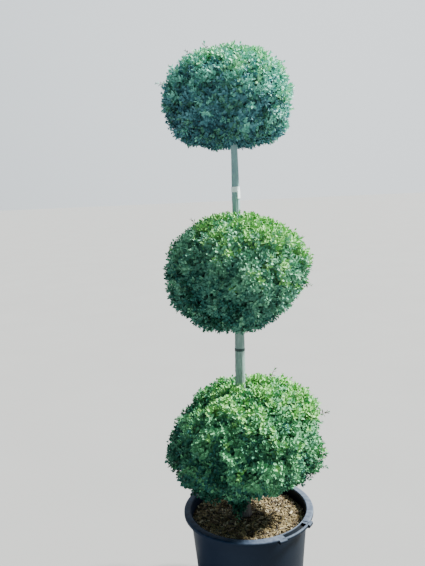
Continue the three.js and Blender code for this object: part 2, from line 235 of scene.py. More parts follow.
LEAF_LENGTH = 0.0225
LEAF_LENGTHS = (0.80, 1.10)  # shares of the usual length
LEAF_WIDTH = 0.0135
LEAF_FACES = 6
LEAF_PAIRS = 5  # below the youngest pair
FIRST_PAIR = 0.004  # distance of the youngest pair from the tip
PAIR_SPACING = 0.0085
YOUNGEST_LEAF = 0.52  # size as a share of a full leaf
LEAF_GROWTH = 0.2  # gained from pair to pair
CLOSED_SPLAY = 0.50  # radians between the youngest leaves and their shoot
SPLAY_GAIN = 0.30
WIDEST_SPLAY = 1.35
LEAF_STRAY = dict(turn=0.18, splay=0.16, roll=0.45)

# How much light a spray gets, which decides its tint: painted light and shade
LIGHT_UPWARD = 1.40
LIGHT_SUNWARD = 0.48
LIGHT_TUFT = 1.0
LIGHT_CHANCE = 0.42
LIGHT_HANGING = 0.5
LIGHT_INNER = -1.2

BOUGH_COUNT = 22
BOUGH_SCATTER = 0.12
BOUGH_REACH = 0.55  # share of the outline where the boughs fork
BOUGH_LOWEST = 0.75  # share of a ball's depth where its lowest bough may leave the trunk
BOUGH_CLIMB = 0.6  # share of a bough's rise that its place on the trunk follows
BOUGH_DROP = 0.05
BOUGH_TOP_ROOM = 0.02  # the highest bough leaves the trunk this far below its tip
BOUGH_ARCH = 0.012
TWIG_COUNT = 240
TWIG_SCATTER = 0.05
TWIG_REACH = 0.86
BOUGH_FOOT_RADII = (0.0062, 0.0050, 0.0026)  # of a bough's first half, its second half and a twig
BOUGH_TIP_RADII = (0.0050, 0.0032, 0.0012)
BOUGH_SIDES = 6

# Base colours of the leaves, dealt out by spray with five to each ball, the darker ones as painted shade and
# the lighter ones as painted sunlight and sheen. Bronze is for the long shoots only.
LEAF_COLOURS = {
    "deep": (0.014, 0.095, 0.060),
    "bluish": (0.036, 0.160, 0.136),
    "middle": (0.058, 0.205, 0.124),
    "light": (0.122, 0.370, 0.180),
    # Yellow-green of young growth, dealt to the sprays most in the light, so partly painted sunlight.
    "young_and_sunlit": (0.215, 0.520, 0.160),
    "sage": (0.095, 0.270, 0.200),
    "pale": (0.175, 0.430, 0.275),
    "slate": (0.050, 0.150, 0.192),
    "teal": (0.112, 0.292, 0.335),
    "mint": (0.205, 0.570, 0.465),
    "spring": (0.280, 0.680, 0.400),
    "bronze": (0.120, 0.095, 0.080),
}
LEAF_ROUGHNESS = 0.60
LEAF_GLOSS = 0.30
LEAF_GLOSS_TINT = (0.60, 1.00, 0.72)
BRONZE_SHARE = 0.45  # of the leaves on the whips
TWIG_COLOUR = (0.085, 0.075, 0.045)
TWIG_ROUGHNESS = 0.8

# Dark and pale tones of the chips
CHIP_TONES = {
    "chip_golden": ((0.110, 0.082, 0.034), (0.300, 0.235, 0.110)),
    "chip_brown": ((0.034, 0.024, 0.012), (0.125, 0.088, 0.042)),
    "chip_straw": ((0.230, 0.195, 0.115), (0.540, 0.490, 0.340)),
    "chip_dark": ((0.014, 0.012, 0.009), (0.050, 0.038, 0.025)),
}

# Name, dark tone, pale tone and roughness of the two ties, which keep their solids
TIES = {
    "lower_tie_band": ("band_rubber", (0.004, 0.022, 0.022), (0.009, 0.050, 0.048), 0.5),
    "upper_tie_tape": ("tape_white", (0.76, 0.88, 0.90), (0.88, 0.96, 0.98), 0.4),
}

PAINTED_LIP_TOP = (POT_HEIGHT - 0.007, POT_HEIGHT - 0.001)  # heights between which the wall's colour gives way to the lip top's painted shade and painted sunlight
LIP_SUNLIT_SPAN = (-0.09, 0.06)  # places along X between which the lip's top goes from painted shade on the -X side to a pale painted sunlit highlight on the +X side
PAINTED_WALL_LIGHT = (-0.18, 0.16)  # places along X between which the wall goes from a lighter tone, painted light on the shaded -X side, to a darker tone, painted shade on the sunlit +X side
PLASTIC_GLOSS = 0.09
PLASTIC_GLOSS_TINT = (0.64, 0.83, 1.00)

FLOOR_REACH = 60.0  # from the pot to each edge

CAMERA_PLACE = (-0.1018, -2.1655, 1.6053)
CAMERA_PITCH = 9.2  # degrees below the horizon
CAMERA_ROLL = 2.48  # degrees, with the picture's content turned to the left
CAMERA_FOCAL_PIXELS = 600
IMAGE_HEIGHT = 566
SENSOR = 36.0

KEY_FROM = (12, 46)  # azimuth and elevation
KEY_STRENGTH = 18.6
KEY_COLOUR = (1.0, 0.98, 0.90)
KEY_SPREAD = 9  # degrees
BRIGHT_SKY = (0.24, 0.88, 0.36)  # the way to the brightest part of the sky
SKY_BRIGHT = (1.42, 1.52, 1.58)
SKY_DIM = (0.20, 0.29, 0.34)

# Ways that no shoot takes exactly, so that a direction square to the shoot can be worked out from them
ODD_WAY_FOR_LEAVES = (0.13, 0.21, 0.97)
ODD_WAY_FOR_RODS = (0.31, 0.52, 0.79)

# Sockets of a node that mixes colours: the share, the two colours and the result
MIX_SHARE = 0
MIX_FIRST = 6
MIX_SECOND = 7
MIX_RESULT = 2


# Small helpers


def towards(azimuth, elevation):
    a, e = math.radians(azimuth), math.radians(elevation)
    return np.array((math.cos(a) * math.cos(e), math.sin(a) * math.cos(e), math.sin(e)))


def unit(vectors):
    return vectors / np.maximum(np.linalg.norm(vectors, axis=-1, keepdims=True), 1e-9)


def mix(low, high, share):
    return low + (high - low) * share


def add_to_scene(name, data):
    obj = bpy.data.objects.new(name, data)
    bpy.context.scene.collection.objects.link(obj)
    return obj


def mesh_object(name, points, faces, materials=(), tints=None, smooth=False):
    """An object from arrays. All faces have the same number of corners, and tints picks their materials."""
    points = np.asarray(points, dtype=np.float32)
    faces = np.asarray(faces, dtype=np.int32)
    corners = faces.shape[1]
    mesh = bpy.data.meshes.new(name)
    mesh.vertices.add(len(points))
    mesh.vertices.foreach_set("co", points.ravel())
    mesh.loops.add(faces.size)
    mesh.loops.foreach_set("vertex_index", faces.ravel())
    mesh.polygons.add(len(faces))
    mesh.polygons.foreach_set("loop_start", np.arange(0, faces.size, corners, dtype=np.int32))
    for material in materials:
        mesh.materials.append(material)
    if tints is not None:
        mesh.polygons.foreach_set("material_index", np.asarray(tints, dtype=np.int32))
    mesh.update(calc_edges=True)
    mesh.validate()
    if smooth:
        mesh.shade_smooth()
    else:
        mesh.shade_flat()
    return add_to_scene(name, mesh)


def tube_quads(rings, sides):
    """Quads between rings of points that lie one after the other, closed round each ring."""
    ring, side = np.meshgrid(np.arange(rings - 1), np.arange(sides), indexing="ij")
    after = (side + 1) % sides
    low = ring * sides
    high = low + sides
    return np.stack([low + side, low + after, high + after, high + side], axis=-1).reshape(-1, 4)


def place_piece(obj, node):
    """Sets a piece on the part's one body, in the place of a node."""
    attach(obj, "root")
    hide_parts(node)


# Materials


def plain_material(name, colour, roughness, gloss=0.5, gloss_tint=(1, 1, 1)):
    material = bpy.data.materials.new(name)
    material.use_nodes = True
    shader = material.node_tree.nodes["Principled BSDF"]
    shader.inputs["Base Color"].default_value = (*colour, 1)
    shader.inputs["Roughness"].default_value = roughness
    shader.inputs["Specular IOR Level"].default_value = gloss
    shader.inputs["Specular Tint"].default_value = (*gloss_tint, 1)
    return material


class Pattern:
    """A material whose colour, roughness and bump come from nodes in object coordinates."""

    def __init__(self, name, roughness):
        self.material = bpy.data.materials.new(name)
        self.material.use_nodes = True
        self.nodes = self.material.node_tree.nodes
        self.links = self.material.node_tree.links
        self.shader = self.nodes["Principled BSDF"]
        self.shader.inputs["Roughness"].default_value = roughness
        self.coordinates = self.nodes.new("ShaderNodeTexCoord").outputs["Object"]

    def stretched(self, scale):
        mapping = self.nodes.new("ShaderNodeMapping")
        mapping.inputs["Scale"].default_value = scale
        self.links.new(self.coordinates, mapping.inputs["Vector"])
        return mapping.outputs["Vector"]

    def noise(self, scale, detail=4.0, vector=None):
        node = self.nodes.new("ShaderNodeTexNoise")
        node.inputs["Scale"].default_value = scale
        node.inputs["Detail"].default_value = detail
        self.links.new(vector or self.coordinates, node.inputs["Vector"])
        return node.outputs["Fac"]

    def rising(self, axis, start, end):
        """A share that rises from 0 to 1 between two places along an axis."""
        node = self.nodes.new("ShaderNodeMapRange")
        axes = self.nodes.new("ShaderNodeSeparateXYZ")
        node.inputs["From Min"].default_value = start
        node.inputs["From Max"].default_value = end
        self.links.new(self.coordinates, axes.inputs["Vector"])
        self.links.new(axes.outputs[axis], node.inputs["Value"])
        return node.outputs["Result"]

    def ramp(self, value, *stops):
        node = self.nodes.new("ShaderNodeValToRGB")
        ramp = node.color_ramp
        while len(ramp.elements) < len(stops):
            ramp.elements.new(0.5)
        for element, (position, colour) in zip(ramp.elements, stops):
            element.position = position
            element.color = (*colour, 1)
        self.links.new(value, node.inputs["Fac"])
        return node.outputs["Color"]

    def blended(self, share, first, second):
        node = self.nodes.new("ShaderNodeMix")
        node.data_type = "RGBA"
        self.links.new(share, node.inputs[MIX_SHARE])
        self.links.new(first, node.inputs[MIX_FIRST])
        self.links.new(second, node.inputs[MIX_SECOND])
        return node.outputs[MIX_RESULT]

    def colour(self, value):
        self.links.new(value, self.shader.inputs["Base Color"])

    def roughness(self, value, low, high):
        node = self.nodes.new("ShaderNodeMapRange")
        node.inputs["To Min"].default_value = low
        node.inputs["To Max"].default_value = high
        self.links.new(value, node.inputs["Value"])
        self.links.new(node.outputs["Result"], self.shader.inputs["Roughness"])

    def bump(self, value, strength, distance):
        node = self.nodes.new("ShaderNodeBump")
        node.inputs["Strength"].default_value = strength
        node.inputs["Distance"].default_value = distance
        self.links.new(value, node.inputs["Height"])
        self.links.new(node.outputs["Normal"], self.shader.inputs["Normal"])


def bark_material():
    """Grey-green bark with fine streaks, splashed brown at the foot and smoother and bluer high up."""
    bark = Pattern("bark", 0.75)
    broad = bark.noise(9, 3, bark.stretched((1, 1, 0.35)))
    fine = bark.noise(260, 5, bark.stretched((1, 1, 0.12)))
    base = bark.ramp(
        broad,
        (0.30, (0.120, 0.190, 0.175)),
        (0.52, (0.210, 0.330, 0.305)),
        (0.72, (0.320, 0.470, 0.450)),
    )
    streaks = bark.ramp(fine, (0.40, (0.085, 0.120, 0.110)), (0.62, (0.330, 0.460, 0.440)))
    share = bark.ramp(bark.noise(40, 2), (0.35, (0.15, 0.15, 0.15)), (0.75, (0.60, 0.60, 0.60)))
    splashed = bark.ramp(fine, (0.35, (0.110, 0.086, 0.078)), (0.65, (0.300, 0.240, 0.220)))
    old_wood = bark.blended(share, base, streaks)
    young_wood = bark.ramp(broad, (0.30, (0.150, 0.260, 0.275)), (0.70, (0.300, 0.480, 0.520)))
    clean = bark.blended(bark.rising("Z", *YOUNG_WOOD), old_wood, young_wood)
    bark.colour(bark.blended(bark.rising("Z", *SPLASHED), splashed, clean))
    bark.roughness(fine, 0.62, 0.88)
    bark.bump(fine, 0.5, 0.0012)
    return bark.material


def plastic_material():
    """Dull black plastic with a blue cast and mottling, with painted light and shade on the wall and on top
    of the lip.
    """
    plastic = Pattern("pot_plastic", 0.42)
    grain = plastic.noise(900, 2)
    dust = plastic.noise(7, 6)
    # The lighter wall tone for the shaded -X side: painted light.
    painted_light_wall = plastic.ramp(
        dust,
        (0.35, (0.0160, 0.0250, 0.0490)),
        (0.60, (0.0200, 0.0300, 0.0570)),
        (0.82, (0.0270, 0.0380, 0.0670)),
    )
    # clean here is the darker wall tone for the sunlit +X side: painted shade.
    clean = plastic.ramp(
        dust,
        (0.35, (0.0040, 0.0076, 0.0145)),
        (0.60, (0.0052, 0.0096, 0.0170)),
        (0.82, (0.0080, 0.0137, 0.0210)),
    )
    wall = plastic.blended(plastic.rising("X", *PAINTED_WALL_LIGHT), painted_light_wall, clean)
    scuffs = plastic.noise(60, 4)
    # The lip's top on the -X side, darker than the wall as painted shade from the foliage above.
    painted_shade_lip = plastic.ramp(scuffs, (0.30, (0.003, 0.010, 0.028)), (0.75, (0.014, 0.034, 0.074)))
    # The lip's top on the sunlit +X side, made pale as painted sunlight and sheen.
    painted_sunlit_lip = plastic.ramp(scuffs, (0.25, (0.046, 0.060, 0.094)), (0.70, (0.108, 0.134, 0.180)))
    lip = plastic.blended(plastic.rising("X", *LIP_SUNLIT_SPAN), painted_shade_lip, painted_sunlit_lip)
    plastic.colour(plastic.blended(plastic.rising("Z", *PAINTED_LIP_TOP), wall, lip))
    plastic.roughness(dust, 0.36, 0.60)
    plastic.bump(grain, 0.12, 0.0004)
    plastic.shader.inputs["Specular IOR Level"].default_value = PLASTIC_GLOSS
    plastic.shader.inputs["Specular Tint"].default_value = (*PLASTIC_GLOSS_TINT, 1)
    return plastic.material


def chip_material(name, dark, pale):
    chip = Pattern(name, 0.9)
    fibre = chip.noise(120, 4)
    chip.colour(chip.ramp(fibre, (0.35, dark), (0.65, pale)))
    chip.bump(fibre, 0.4, 0.001)
    return chip.material


def soil_material():
    soil = Pattern("potting_mix", 0.95)
    crumbs = soil.noise(150, 6)
    tones = soil.ramp(
        crumbs,
        (0.35, (0.022, 0.016, 0.009)),
        (0.55, (0.090, 0.062, 0.030)),
        (0.75, (0.220, 0.155, 0.075)),
    )
    soil.colour(tones)
    soil.bump(crumbs, 0.8, 0.003)
    return soil.material


def tie_material(name, dark, pale, roughness):
    tie = Pattern(name, roughness)
    creases = tie.noise(180, 3, tie.stretched((1, 1, 3)))
    tie.colour(tie.ramp(creases, (0.30, dark), (0.65, pale)))
    tie.bump(creases, 0.35, 0.0008)
    return tie.material


def floor_material():
    floor = Pattern("floor_plain", 0.9)
    tones = floor.ramp(floor.noise(1.5, 2), (0.2, (0.240, 0.244, 0.250)), (0.8, (0.254, 0.258, 0.264)))
    floor.colour(tones)
    return floor.material


# Trunk


def trunk_middle(z):
    """The trunk's middle line at heights, on a smooth curve through its stations."""
    z = np.clip(np.asarray(z, dtype=float), TRUNK[0, 2], TRUNK[-1, 2])
    heights = TRUNK[:, 2]
    slopes = np.gradient(TRUNK[:, :2], heights, axis=0)
    i = np.clip(np.searchsorted(heights, z, side="right") - 1, 0, len(heights) - 2)
    span = heights[i + 1] - heights[i]
    t = ((z - heights[i]) / span)[..., None]
    start, end = TRUNK[i, :2], TRUNK[i + 1, :2]
    lead, arrive = slopes[i] * span[..., None], slopes[i + 1] * span[..., None]
    curve = (2 * t**3 - 3 * t**2 + 1) * start + (t**3 - 2 * t**2 + t) * lead
    return curve + (3 * t**2 - 2 * t**3) * end + (t**3 - t**2) * arrive


def trunk_radius(z, azimuth=0.0):
    straight = np.interp(z, TRUNK[:, 2], TRUNK[:, 3])
    near = np.clip(1 - (z - TRUNK[0, 2]) / TRUNK_FLARE_HEIGHT, 0, None)
    return straight + TRUNK_FLARE * near**2 * (1 + BUTTRESS_DEPTH * np.cos(BUTTRESSES * azimuth))


def bark_relief(z, azimuth, radius):
    """How far the bark stands out: grain, low waves, and scars of cut boughs, each a dent in a collar."""
    rng = np.random.default_rng(TRUNK_SEED)
    relief = rng.normal(0, BARK_GRAIN, (TRUNK_RINGS, TRUNK_SIDES))
    for height, around, upwards, phase in BARK_WAVES:
        relief = relief + height * np.sin(around * azimuth + upwards * z + phase)
    for _ in range(SCAR_COUNT):
        scar_z = rng.uniform(*SCAR_HEIGHTS)
        scar_azimuth = rng.uniform(-math.pi, math.pi)
        turn = np.angle(np.exp(1j * (azimuth - scar_azimuth))) * radius
        off = np.hypot(turn, z - scar_z) / rng.uniform(*SCAR_RADII)
        relief = relief + SCAR_COLLAR * np.exp(-off * off)
        relief = relief - SCAR_DENT * np.exp(-((off * DENT_NARROWING) ** 2))
    return relief


def make_trunk(material):
    """The trunk as a fine tube with the bark's relief."""
    z = mix(TRUNK[0, 2], TRUNK[-1, 2], np.linspace(0, 1, TRUNK_RINGS))[:, None]
    azimuth = np.linspace(0, FULL_TURN, TRUNK_SIDES, endpoint=False)[None, :]
    smooth_radius = trunk_radius(z, azimuth)
    radius = smooth_radius + bark_relief(z, azimuth, smooth_radius)
    middle = trunk_middle(z[:, 0])
    points = np.empty((TRUNK_RINGS, TRUNK_SIDES, 3))
    points[..., 0] = middle[:, :1] + radius * np.cos(azimuth)
    points[..., 1] = middle[:, 1:] + radius * np.sin(azimuth)
    points[..., 2] = z
    quads = tube_quads(TRUNK_RINGS, TRUNK_SIDES)
    obj = mesh_object("trunk_bark", points.reshape(-1, 3), quads, [material], smooth=True)
    place_piece(obj, "trunk")


# Foliage


def outline(ball, ways):
    """Distance from a ball's centre to its clipped outline, in each direction."""
    level = np.hypot(ways[:, 0], ways[:, 1]) / ball["radius"]
    upright = np.abs(ways[:, 2]) / np.where(ways[:, 2] > 0, ball["rise"], ball["sink"])
    plain = (level**SQUARENESS + upright**SQUARENESS) ** (-1 / SQUARENESS)
    swell = np.ones(len(ways))
    for azimuth, elevation, size, width in ball["bumps"]:
        off = np.arccos(np.clip(ways @ towards(azimuth, elevation), -1, 1)) / math.radians(width)
        swell += size * np.exp(-off * off)
    return plain * swell


def tufts(ways, rng):
    """A smooth field over the directions, from 0 in the hollows to 1 on the tufts."""
    field = np.zeros(len(ways))
    for _ in range(TUFT_WAVES):
        heading = unit(rng.normal(size=3)) * rng.uniform(*TUFT_PITCH)
        field += np.sin(ways @ heading + rng.uniform(0, FULL_TURN))
    return 0.5 + 0.5 * np.tanh(field / TUFT_SOFTNESS)


def golden_ways(count, rng, scatter):
    """Directions spread evenly over a ball, each strayed a little."""
    i = np.arange(count) + 0.5
    height = 1 - 2 * i / count
    ring = np.sqrt(1 - height**2)
    turn = i * GOLDEN_ANGLE
    ways = np.stack([ring * np.cos(turn), ring * np.sin(turn), height], axis=1)
    return unit(ways + rng.normal(0, scatter, ways.shape))


def hanging_ways(ball):
    """Directions crowded into the tuft that hangs out of the clipped ball, if it has one."""
    azimuth, elevation, spread, count = ball.get("hanging", (0, 0, 0, 0))
    stray = np.random.default_rng(ball["seed"]).normal(0, math.radians(spread), (count, 3))
    return unit(towards(azimuth, elevation) + stray)


def clear_of_trunk(ball, points):
    place = points + np.array(ball["centre"])
    off = np.linalg.norm(place[:, :2] - trunk_middle(place[:, 2]), axis=1)
    above = place[:, 2] > TRUNK[-1, 2] + TRUNK_ROOM
    return above | (off > trunk_radius(place[:, 2]) + TRUNK_ROOM)


def dealt(light, shares):
    """Deals the tints out from the darkest to the lightest, by how much light each spray gets."""
    rank = np.argsort(np.argsort(light)) / len(light)
    return np.searchsorted(np.cumsum(shares)[:-1], rank, side="right")


def grow_sprays(ball, rng):
    """The leafy shoots that make the ball's surface: foot, tip, way, turn of the first pair and tint."""
    ways = np.concatenate([golden_ways(ball["sprays"], rng, SHOOT_SCATTER), hanging_ways(ball)])
    count = len(ways)
    on_top = ways[:, 2] > 0
    hangs = np.arange(count) >= ball["sprays"]
    tuft = tufts(ways, rng)
    reach = 1.0 - TUFT_DEPTH * (1 - tuft) + rng.uniform(*REACH_STRAY, count)
    kind = rng.random(count)
    inner = kind < INNER_SHARE
    stray = kind > 1 - np.where(on_top, ball.get("loose", STRAY_SHARE), STRAY_SHARE)
    reach = np.where(inner, reach - rng.uniform(*INNER_DEPTHS, count), reach)
    reach = np.where(stray, reach + rng.uniform(*STRAY_HEIGHTS, count), reach)
    reach = np.where(hangs, mix(HANGING_FROM, 1.0, kind), reach)
    tips = ways * (np.minimum(reach, REACH_LIMIT) * outline(ball, ways))[:, None]
    upward = np.array((0, 0, 1)) * np.where(on_top, *SHOOT_LIFT)[:, None]
    lean = unit(ways + rng.normal(0, SHOOT_LEAN, ways.shape) + upward)
    outward = np.sum(lean * ways, axis=1)
    lean = np.where((outward < LEAST_OUTWARD)[:, None], unit(lean + OUTWARD_PULL * ways), lean)
    length = SHOOT_LENGTH * rng.uniform(*SHOOT_LENGTHS, count)
    feet = tips - lean * length[:, None]
    light = LIGHT_UPWARD * ways[:, 2] + LIGHT_SUNWARD * ways[:, 0] + LIGHT_TUFT * (tuft - 0.5)
    light = light + rng.normal(0, LIGHT_CHANCE, count)
    light = np.where(hangs, light + LIGHT_HANGING, np.where(inner, light + LIGHT_INNER, light))
    turn = rng.uniform(0, FULL_TURN, count)
    return feet, tips, lean, turn, dealt(light, list(ball["tints"].values()))


def whip_sprays(ball, rng):
    """The few long shoots that stand out of the clipped outline."""
    feet, tips = [], []
    for azimuth, elevation, size in ball["whips"]:
        way = towards(azimuth, elevation)
        skin = outline(ball, way[None])[0]
        feet.append(way * WHIP_ROOT * skin)
        tips.append(way * (1 + size) * skin)
    feet, tips = np.array(feet), np.array(tips)
    return feet, tips, unit(tips - feet), rng.uniform(0, FULL_TURN, len(feet))


def turned_about(vectors, axis, angle):
    """Each vector turned about its own axis by its own angle."""
    c = np.cos(angle)[:, None]
    s = np.sin(angle)[:, None]
    dot = np.sum(vectors * axis, axis=1, keepdims=True)
    return vectors * c + np.cross(axis, vectors) * s + axis * dot * (1 - c)


def spray_leaves(feet, tips, along, turn, rng, size=1.0):
    """Opposite pairs down each shoot, each pair turned by a right angle, closing towards the tip."""
    aside = unit(np.cross(np.array(ODD_WAY_FOR_LEAVES), along))
    count = len(tips)
    made = []
    for pair in range(LEAF_PAIRS + 1):
        growth = min(1.0, YOUNGEST_LEAF + LEAF_GROWTH * pair)
        splay = min(WIDEST_SPLAY, CLOSED_SPLAY + SPLAY_GAIN * pair)
        foot = tips - along * (size * (FIRST_PAIR + PAIR_SPACING * pair))
        for side in (0, math.pi):
            around = turn + side + pair * math.pi / 2 + rng.normal(0, LEAF_STRAY["turn"], count)
            heading = turned_about(aside, along, around)
            lean = splay + rng.normal(0, LEAF_STRAY["splay"], count)
            blade = along * np.cos(lean)[:, None] + heading * np.sin(lean)[:, None]
            face = along * np.sin(lean)[:, None] - heading * np.cos(lean)[:, None]
            face = turned_about(face, blade, rng.normal(0, LEAF_STRAY["roll"], count))
            length = size * LEAF_LENGTH * growth * rng.uniform(*LEAF_LENGTHS, count)
            made.append((foot, blade, face, length, np.arange(count)))
    return [np.concatenate(part) for part in zip(*made)]


def leaves(feet, along, face, length, width):
    """Folded leaves of six triangles: a foot, a tip, two points on each side and one on the midrib."""
    across = np.cross(along, face)
    template = np.array(
        [
            (0.00, 0.00, 0.00),
            (0.30, 0.48, 0.03),
            (0.68, 0.38, 0.01),
            (1.00, 0.00, -0.08),
            (0.68, -0.38, 0.01),
            (0.30, -0.48, 0.03),
            (0.46, 0.00, -0.05),
        ]
    )
    rim = np.arange(LEAF_FACES)
    one = np.stack([np.full(LEAF_FACES, LEAF_FACES), rim, (rim + 1) % LEAF_FACES], axis=1)
    length = length[:, None, None]
    width = width[:, None, None]
    points = feet[:, None, :] + length * template[None, :, :1] * along[:, None, :]
    points = points + width * template[None, :, 1:2] * across[:, None, :]
    points = points + length * template[None, :, 2:] * face[:, None, :]
    faces = one[None] + (np.arange(len(feet)) * len(template))[:, None, None]
    return points.reshape(-1, 3), faces.reshape(-1, 3)


def rods(feet, tips, foot_radius, tip_radius, sides=3):
    """Thin straight stems between pairs of points, as points and triangles."""
    along = unit(tips - feet)
    aside = unit(np.cross(along, np.array(ODD_WAY_FOR_RODS)))
    across = np.cross(along, aside)
    turn = (np.arange(sides) * FULL_TURN / sides)[None, :, None]
    ring = np.cos(turn) * aside[:, None, :] + np.sin(turn) * across[:, None, :]
    low = feet[:, None, :] + ring * np.reshape(foot_radius, (-1, 1, 1))
    high = tips[:, None, :] + ring * np.reshape(tip_radius, (-1, 1, 1))
    points = np.concatenate([low, high], axis=1)
    corner = np.arange(sides)
    after = (corner + 1) % sides
    lower_half = np.stack([corner, after, after + sides], 1)
    upper_half = np.stack([corner, after + sides, corner + sides], 1)
    one = np.concatenate([lower_half, upper_half])
    faces = one[None] + (np.arange(len(feet)) * 2 * sides)[:, None, None]
    return points.reshape(-1, 3), faces.reshape(-1, 3)


def foliage_piece(ball_name, kind, points, faces, materials, tints=None, smooth=False):
    """One piece of a ball, from points measured from the ball's centre."""
    centre = np.array(BALLS[ball_name]["centre"])
    obj = mesh_object(f"{ball_name}_{kind}", points + centre, faces, materials, tints, smooth)
    place_piece(obj, "foliage_ball_" + ball_name)


def make_sprays(name, ball, leaf_materials, twig_material, rng):
    """The leaves in two pieces, and the stems that carry them."""
    materials = [leaf_materials[tint] for tint in ball["tints"]]
    feet, tips, along, turn, tints = grow_sprays(ball, rng)
    foot, blade, face, length, spray = spray_leaves(feet, tips, along, turn, rng)
    keep = clear_of_trunk(ball, foot) & clear_of_trunk(ball, foot + blade * length[:, None])
    for half in (0, 1):
        mine = keep & (spray % 2 == half)
        width = length[mine] * LEAF_WIDTH / LEAF_LENGTH
        points, faces = leaves(foot[mine], blade[mine], face[mine], length[mine], width)
        colours = np.repeat(tints[spray[mine]], LEAF_FACES)
        foliage_piece(name, f"leaves_{half + 1}", points, faces, materials, colours, smooth=True)
    stems = clear_of_trunk(ball, feet) & clear_of_trunk(ball, tips)
    roots = feet[stems] - SHOOT_ROOT * along[stems]
    points, faces = rods(roots, tips[stems], SHOOT_RADIUS, SHOOT_RADIUS * SHOOT_TAPER)
    foliage_piece(name, "shoots", points, faces, [twig_material])


def make_whips(name, ball, leaf_materials, twig_material, rng):
    materials = [leaf_materials["bronze"], leaf_materials[ball["whip_colour"]]]
    feet, tips, along, turn = whip_sprays(ball, rng)
    foot, blade, face, length, _ = spray_leaves(feet, tips, along, turn, rng, WHIP_LEAF)
    points, faces = leaves(foot, blade, face, length, length * WHIP_LEAF_WIDTH)
    tints = np.repeat(np.where(rng.random(len(foot)) < BRONZE_SHARE, 0, 1), LEAF_FACES)
    foliage_piece(name, "whip_leaves", points, faces, materials, tints, smooth=True)
    points, faces = rods(feet, tips, *WHIP_RADII)
    foliage_piece(name, "whip_stems", points, faces, [twig_material])


def make_boughs(name, ball, material, rng):
    """Boughs that leave the trunk inside the ball, each forking into twigs that carry the shoots."""
    centre = np.array(ball["centre"])
    bough_ways = golden_ways(BOUGH_COUNT, rng, BOUGH_SCATTER)
    twig_ways = golden_ways(TWIG_COUNT, rng, TWIG_SCATTER)
    ends = bough_ways * (BOUGH_REACH * outline(ball, bough_ways))[:, None]
    lowest = centre[2] - BOUGH_LOWEST * ball["sink"]
    start_z = centre[2] + ends[:, 2] * BOUGH_CLIMB - BOUGH_DROP
    start_z = np.clip(start_z, lowest, TRUNK[-1, 2] - BOUGH_TOP_ROOM)
    starts = np.column_stack([trunk_middle(start_z), start_z]) - centre
    knees = (starts + ends) / 2 + np.array((0, 0, BOUGH_ARCH))
    nearest = np.argmax(twig_ways @ bough_ways.T, axis=1)
    twig_ends = twig_ways * (TWIG_REACH * outline(ball, twig_ways))[:, None]
    feet = np.concatenate([starts, knees, ends[nearest]])
    tips = np.concatenate([knees, ends, twig_ends])
    counts = (BOUGH_COUNT, BOUGH_COUNT, TWIG_COUNT)
    foot_radius = np.repeat(BOUGH_FOOT_RADII, counts)
    tip_radius = np.repeat(BOUGH_TIP_RADII, counts)
    points, faces = rods(feet, tips, foot_radius, tip_radius, BOUGH_SIDES)
    foliage_piece(name, "boughs", points, faces, [material], smooth=True)


def make_ball(name, ball, leaf_materials, twig_material):
    rng = np.random.default_rng(ball["seed"])
    make_sprays(name, ball, leaf_materials, twig_material, rng)
    make_whips(name, ball, leaf_materials, twig_material, rng)
    make_boughs(name, ball, twig_material, rng)


# Pot


def wall_radius(z):
    return MOUTH_RADIUS + POT_WALL - POT_TAPER * (POT_HEIGHT - z)


def arc(centre, radius, start, end, steps):
    """Points on an arc of a profile, from one angle in degrees to another."""
    angles = np.radians(np.linspace(start, end, steps))
    return [(centre[0] + radius * math.cos(a), centre[1] + radius * math.sin(a)) for a in angles]


def rounded_box(low, high, edge):
    """A closed profile of radius and height with its corners rounded."""
    (r0, z0), (r1, z1) = low, high
    corners = [
        ((r1 - edge, z0 + edge), -90),
        ((r1 - edge, z1 - edge), 0),
        ((r0 + edge, z1 - edge), 90),
        ((r0 + edge, z0 + edge), 180),
    ]
    profile = []
    for centre, start in corners:
        profile += arc(centre, edge, start, start + 90, CORNER_STEPS)
    return profile + profile[:1]


def swept(profile, start, end, steps, closed):
    """A profile of radius and height swept round +Z between two azimuths, as points and quads."""
    profile = np.array(profile)
    turns = np.radians(np.linspace(start, end, steps, endpoint=not closed))
    points = np.empty((len(turns), len(profile), 3))
    points[..., 0] = profile[None, :, 0] * np.cos(turns)[:, None]
    points[..., 1] = profile[None, :, 0] * np.sin(turns)[:, None]
    points[..., 2] = profile[None, :, 1]
    rows = len(turns) if closed else len(turns) - 1
    row, column = np.meshgrid(np.arange(rows), np.arange(len(profile) - 1), indexing="ij")
    here = row * len(profile) + column
    after = (row + 1) % len(turns) * len(profile) + column
    quads = np.stack([here, after, after + 1, here + 1], axis=-1)
    return points.reshape(-1, 3), quads.reshape(-1, 4)


def capped(profile, start, end, steps):
    """A swept closed profile with its two ends shut by a fan of quads to the middle."""
    points, quads = swept(profile, start, end, steps, False)
    width = len(profile)
    extra, fans = [], []
    for row in (0, steps - 1):
        ring = np.arange(row * width, row * width + width)
        middle = len(points) + len(extra)
        extra.append(points[ring].mean(axis=0))
        for a, b in zip(ring[:-1], ring[1:]):
            fans.append((a, b, middle, middle) if row else (b, a, middle, middle))
    return np.concatenate([points, np.array(extra)]), np.concatenate([quads, np.array(fans)])


def joined(parts):
    points, faces, base = [], [], 0
    for part_points, part_faces in parts:
        points.append(part_points)
        faces.append(part_faces + base)
        base += len(part_points)
    return np.concatenate(points), np.concatenate(faces)


